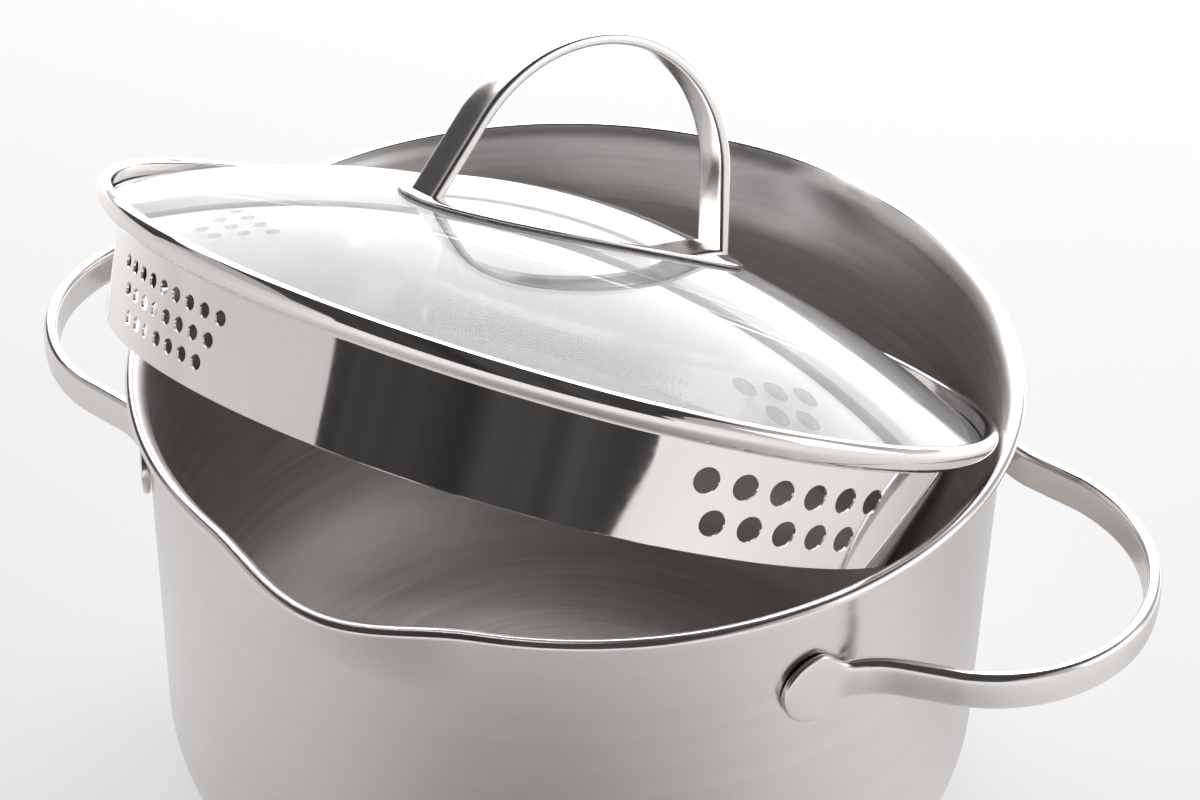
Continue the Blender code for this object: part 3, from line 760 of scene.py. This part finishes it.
studio = {
    "lidCentre": (0, 0, 0.15),
    "floorSize": 6,
    "floorSeen": (0.55, 0.57),  # glow to the camera, in front and at the back
    "floorDepth": (-0.3, 0.9),  # where those two are reached
    "floorGrey": "959595",
    "floorMirroredGrey": "CECECE",
    # What the pot mirrors of the floor, as (direction, strength) of painted light and shade on it, close by
    # and further out: painted shadow close to the pot, and painted light further out.
    "floorPaintedShadeNear": (
        (-180, 0.15), (-161, 0.27), (-122, 0.37), (-76, 0.23), (-44, 0.29), (-9, 0.44),
        (40, 0.03), (82, 0), (156, 0.05), (180, 0.15),
    ),
    "floorPaintedLightFar": (
        (-180, 0.4), (-150, 0.45), (-130, 0.6), (-100, 0.9), (-38, 0.88), (0, 0.6),
        (45, 0.75), (90, 1.5), (120, 1.5), (144, 0.4), (180, 0.4),
    ),
    "paintedShadeReach": (0.22, 0.5),  # distances between which the first turns into the second
    "worldLight": 0.6,
    "horizonLight": 0.85,
    "horizonFade": (0.08, 0.2),  # how far up the sky one turns into the other, 1 being overhead
    # Painted light: the black felt glows a little, most on its folds.
    "feltPaintedGlow": (0.01, 0.06),  # between folds and on them
    "feltFold": 0.3125,
    "flagWidens": (5, 30),  # height angles between which a flag goes from its lower to its upper width
}
softboxes = [
    {"name": "back softbox", "direction": 116, "distance": 1.5, "height": 0.95,
     "size": (3.0, 1.6), "radiance": 2.4},
    {"name": "right softbox", "direction": 15, "distance": 1.3, "height": 0.45,
     "size": (1.0, 0.8), "radiance": 1.1},
    {"name": "top softbox", "direction": 116, "distance": 0.8, "height": 1.3,
     "size": (1.6, 0.5), "radiance": 5.0},
    # Stands for the light that falls through the glass on the inside of the pot.
    {"name": "glow under the lid", "direction": 90, "distance": 0.05, "height": 0.12,
     "size": (0.06, 0.06), "radiance": 0.6, "aim": (-0.075, -0.02, 0), "spread": 90},
]
flags = [
    {"name": "front_flag", "direction": -78, "distance": 1.2, "low": -14, "high": 118,
     "halfWidth": (0.92, 1.3)},
    {"name": "left_flag", "direction": 173, "distance": 1.25, "low": 3, "high": 30,
     "halfWidth": (0.35, 0.35)},
]
view = {
    "lens": 90.046,  # millimetres, as the sensor
    "sensor": 36,
    "place": (0.30667, -0.61316, 0.63921),
    "turn": 26,
    "pitch": 36.307,
    "roll": 1.402,
}


def stageObject(mesh, name, material):
    data = bpy.data.meshes.new(name)
    mesh.to_mesh(data)
    mesh.free()
    data.materials.append(material)
    item = bpy.data.objects.new(name, data)
    bpy.context.scene.collection.objects.link(item)
    return item


def addHeadingCurve(tree, place, heading, strengths):
    # Strengths by direction, halved in the curve because it ends at 1.
    curve = addNode(tree, "ShaderNodeFloatCurve", place)
    points = curve.mapping.curves[0].points
    for index, (direction, strength) in enumerate(strengths):
        spot = ((direction + 180) / 360, strength / 2)
        point = points[index] if index < 2 else points.new(*spot)
        point.location = spot
    curve.mapping.update()
    tree.links.new(heading, curve.inputs["Value"])
    double = addNode(tree, "ShaderNodeMath", (place[0] + 160, place[1]), {"operation": "MULTIPLY"}, {1: 2.0},
                     {0: curve.outputs["Value"]})
    return double.outputs["Value"]


def paperSeen(tree, point):
    # To the camera the paper is nearly white, a little brighter towards the back.
    turn = math.radians(view["turn"])
    low, high = studio["floorDepth"]
    dim, white = studio["floorSeen"]
    paper = addNode(tree, "ShaderNodeBsdfDiffuse", (0, -200), values={"Color": linear(studio["floorGrey"])})
    depth = addNode(tree, "ShaderNodeVectorMath", (-700, -400), {"operation": "DOT_PRODUCT"},
                    {1: (-math.sin(turn), math.cos(turn), 0)}, {0: point})
    fade = addNode(tree, "ShaderNodeMapRange", (-400, -400), links={"Value": depth.outputs["Value"]},
                   values={"From Min": low, "From Max": high, "To Min": dim, "To Max": white})
    glow = addNode(tree, "ShaderNodeEmission", (0, -400), values={"Color": linear("FEFEFF")},
                   links={"Strength": fade.outputs["Result"]})
    both = addNode(tree, "ShaderNodeAddShader", (300, -300),
                   links={0: paper.outputs["BSDF"], 1: glow.outputs["Emission"]})
    return both.outputs["Shader"]


def paperMirroredWithPaintedLight(tree, point):
    # Mirrored in the pot it is bright further out with painted light, and close to the pot darker with
    # painted shadow, most on the camera's side.
    inside, outside = studio["paintedShadeReach"]
    dull = addNode(tree, "ShaderNodeBsdfDiffuse", (0, 300), values={
        "Color": linear(studio["floorMirroredGrey"])})
    heading = addNode(tree, "ShaderNodeTexGradient", (-740, 300), {"gradient_type": "RADIAL"},
                      links={"Vector": point})
    # Painted shadow close to the pot and painted light further out, as a glow that changes with direction.
    near = addHeadingCurve(tree, (-420, 300), heading.outputs["Fac"], studio["floorPaintedShadeNear"])
    far = addHeadingCurve(tree, (-420, 600), heading.outputs["Fac"], studio["floorPaintedLightFar"])
    distance = addNode(tree, "ShaderNodeVectorMath", (-900, 700), {"operation": "LENGTH"}, links={0: point})
    outward = addNode(tree, "ShaderNodeMapRange", (-700, 700), {"interpolation_type": "SMOOTHSTEP"},
                      {"From Min": inside, "From Max": outside}, {"Value": distance.outputs["Value"]})
    blend = addNode(tree, "ShaderNodeMix", (-200, 450),
                    links={"Factor": outward.outputs["Result"], "A": near, "B": far})
    glow = addNode(tree, "ShaderNodeEmission", (0, 450), values={"Color": linear("FFFFFF")},
                   links={"Strength": blend.outputs["Result"]})
    both = addNode(tree, "ShaderNodeAddShader", (300, 300),
                   links={0: dull.outputs["BSDF"], 1: glow.outputs["Emission"]})
    return both.outputs["Shader"]


def makeFloor():
    # Matt white paper, the ground that the pot stands on. What the pot mirrors of it carries painted light
    # and shadow.
    material, tree, shader = newMaterial("white paper", "FFFFFF", 0.9, 0.0)
    tree.nodes.remove(shader)
    coordinates = addNode(tree, "ShaderNodeTexCoord", (-1100, 0))
    path = addNode(tree, "ShaderNodeLightPath", (300, 600))
    mix = addNode(tree, "ShaderNodeMixShader", (500, 0), links={
        "Fac": path.outputs["Is Camera Ray"],
        1: paperMirroredWithPaintedLight(tree, coordinates.outputs["Object"]),
        2: paperSeen(tree, coordinates.outputs["Object"])})
    tree.links.new(mix.outputs["Shader"], tree.nodes["Material Output"].inputs["Surface"])
    mesh = bmesh.new()
    bmesh.ops.create_grid(mesh, x_segments=1, y_segments=1, size=studio["floorSize"])
    stageObject(mesh, "floor", material)


def makeWorld():
    # White to the camera, and to the pot a plain grey sky that is brighter low down.
    world = bpy.data.worlds.new("studio")
    bpy.context.scene.world = world
    world.use_nodes = True
    tree = world.node_tree
    coordinates = addNode(tree, "ShaderNodeTexCoord", (-900, 0))
    parts = addNode(tree, "ShaderNodeSeparateXYZ", (-700, 0),
                    links={"Vector": coordinates.outputs["Generated"]})
    low, high = studio["horizonFade"]
    fade = addNode(tree, "ShaderNodeMapRange", (-500, 0), links={"Value": parts.outputs["Z"]}, values={
        "From Min": low, "From Max": high, "To Min": studio["horizonLight"], "To Max": studio["worldLight"]})
    light = tree.nodes["Background"]
    light.inputs["Color"].default_value = linear("FCFCFF")
    tree.links.new(fade.outputs["Result"], light.inputs["Strength"])
    seen = addNode(tree, "ShaderNodeBackground", (0, -200), values={
        "Color": linear("FFFFFF"), "Strength": 1.0})
    path = addNode(tree, "ShaderNodeLightPath", (0, 400))
    mix = addNode(tree, "ShaderNodeMixShader", (300, 0), links={
        "Fac": path.outputs["Is Camera Ray"], 1: light.outputs["Background"], 2: seen.outputs["Background"]})
    tree.links.new(mix.outputs["Shader"], tree.nodes["World Output"].inputs["Surface"])


def makeLights():
    for box in softboxes:
        width, height = box["size"]
        lamp = bpy.data.lights.new(box["name"], "AREA")
        lamp.shape = "RECTANGLE"
        lamp.size = width
        lamp.size_y = height
        lamp.energy = box["radiance"] * math.pi * width * height
        lamp.spread = math.radians(box.get("spread", 180))
        item = bpy.data.objects.new(box["name"], lamp)
        bpy.context.scene.collection.objects.link(item)
        angle = math.radians(box["direction"])
        item.location = (box["distance"] * math.cos(angle), box["distance"] * math.sin(angle), box["height"])
        aim = Vector(box.get("aim", studio["lidCentre"])) - item.location
        item.rotation_euler = aim.to_track_quat("-Z", "Y").to_euler()
        item.visible_camera = False


def makeFlag(flag, material):
    # A strip of dark felt bent over the pot, which the polished parts mirror.
    angle = math.radians(flag["direction"])
    front = Vector((math.cos(angle), math.sin(angle), 0))
    side = Vector((-front.y, front.x, 0))
    narrow, wide = flag["halfWidth"]
    start, end = studio["flagWidens"]
    mesh = bmesh.new()
    bmesh.ops.create_grid(mesh, x_segments=1, y_segments=24, size=1)
    for vertex in mesh.verts:
        lift = flag["low"] + (flag["high"] - flag["low"]) * (vertex.co.y + 1) / 2
        half = narrow + (wide - narrow) * smoothStep((lift - start) / (end - start))
        towards = front * math.cos(math.radians(lift)) + Vector((0, 0, math.sin(math.radians(lift))))
        vertex.co = Vector(studio["lidCentre"]) + towards * flag["distance"] + side * half * vertex.co.x
    item = stageObject(mesh, flag["name"], material)
    item.visible_camera = False


def makeFlags():
    # Black felt with soft upright folds: nearly black, with painted light glowing a little paler on each
    # fold.
    material, tree, shader = newMaterial("black felt", "101012", 0.9, 0.0)
    angle = math.radians(flags[0]["direction"])
    dark, paintedFoldLight = studio["feltPaintedGlow"]
    coordinates = addNode(tree, "ShaderNodeTexCoord", (-900, 0))
    across = addNode(tree, "ShaderNodeVectorMath", (-700, 0), {"operation": "DOT_PRODUCT"},
                     {1: (-math.sin(angle), math.cos(angle), 0)}, {0: coordinates.outputs["Object"]})
    folds = addNode(tree, "ShaderNodeTexNoise", (-500, 0), {"noise_dimensions": "1D"},
                    {"Scale": 1 / studio["feltFold"], "Detail": 1.0}, {"W": across.outputs["Value"]})
    # Painted light: the felt glows, more on each fold.
    glow = addNode(tree, "ShaderNodeMapRange", (-250, 0), links={"Value": folds.outputs["Fac"]}, values={
        "From Min": 0.3, "From Max": 0.7, "To Min": dark, "To Max": paintedFoldLight})
    shader.inputs["Emission Color"].default_value = linear("FFFDFF")
    tree.links.new(glow.outputs["Result"], shader.inputs["Emission Strength"])
    for flag in flags:
        makeFlag(flag, material)


def makeCamera():
    camera = bpy.data.cameras.new("camera")
    camera.lens = view["lens"]
    camera.sensor_width = view["sensor"]
    item = bpy.data.objects.new("camera", camera)
    bpy.context.scene.collection.objects.link(item)
    pitch = math.radians(view["pitch"])
    roll = math.radians(view["roll"])
    turn = Matrix.Rotation(math.radians(view["turn"]), 3, "Z")
    forward = turn @ Vector((0, math.cos(pitch), -math.sin(pitch)))
    right = turn @ Vector((1, 0, 0))
    up = right.cross(forward)
    across = right * math.cos(roll) + up * math.sin(roll)
    upright = up * math.cos(roll) - right * math.sin(roll)
    facing = Matrix((across, upright, -forward)).transposed().to_4x4()
    item.matrix_world = Matrix.Translation(view["place"]) @ facing
    bpy.context.scene.camera = item


insideSteel = makeInsideSteel()
outsideSteel = makeOutsideSteel()
polishedSteel = makePolishedSteel()
barSteel = makeBarSteel()
clearGlass = makeGlass()
dotPrint = makeDotPrint()
silicone = makeSilicone()
aluminium = makeAluminium()
print("materials made")

makePotBody(insideSteel, outsideSteel, barSteel)
print("pot body made")
makeHandle("right_loop_handle", "pot_handle_right", 0, barSteel)
makeHandle("left_loop_handle", "pot_handle_left", math.pi, barSteel)
print("loop handles made")
makeBand(polishedSteel)
print("lid band made")
makeGlassDome(clearGlass)
makeDotMarks("fine_side_dots", fineDots, dotPrint)
makeDotMarks("coarse_side_dots", coarseDots, dotPrint)
print("lid glass made")
makePlate(polishedSteel)
makeArch(barSteel)
print("lid handle made")

nodeMaterials = {"base_core_disc": aluminium, "base_cap": outsideSteel}
for side in ("left", "right"):
    for kind in ("lid_stud_", "lid_washer_", "lid_screw_"):
        nodeMaterials[kind + side] = polishedSteel
    for kind in ("lid_gasket_upper_", "lid_gasket_lower_"):
        nodeMaterials[kind + side] = silicone
for node, material in nodeMaterials.items():
    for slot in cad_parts[node].material_slots:
        slot.material = material
print("base and fixings dressed")

makeFloor()
makeWorld()
makeLights()
makeFlags()
makeCamera()
bpy.context.scene.view_settings.view_transform = "Standard"
print("studio made")
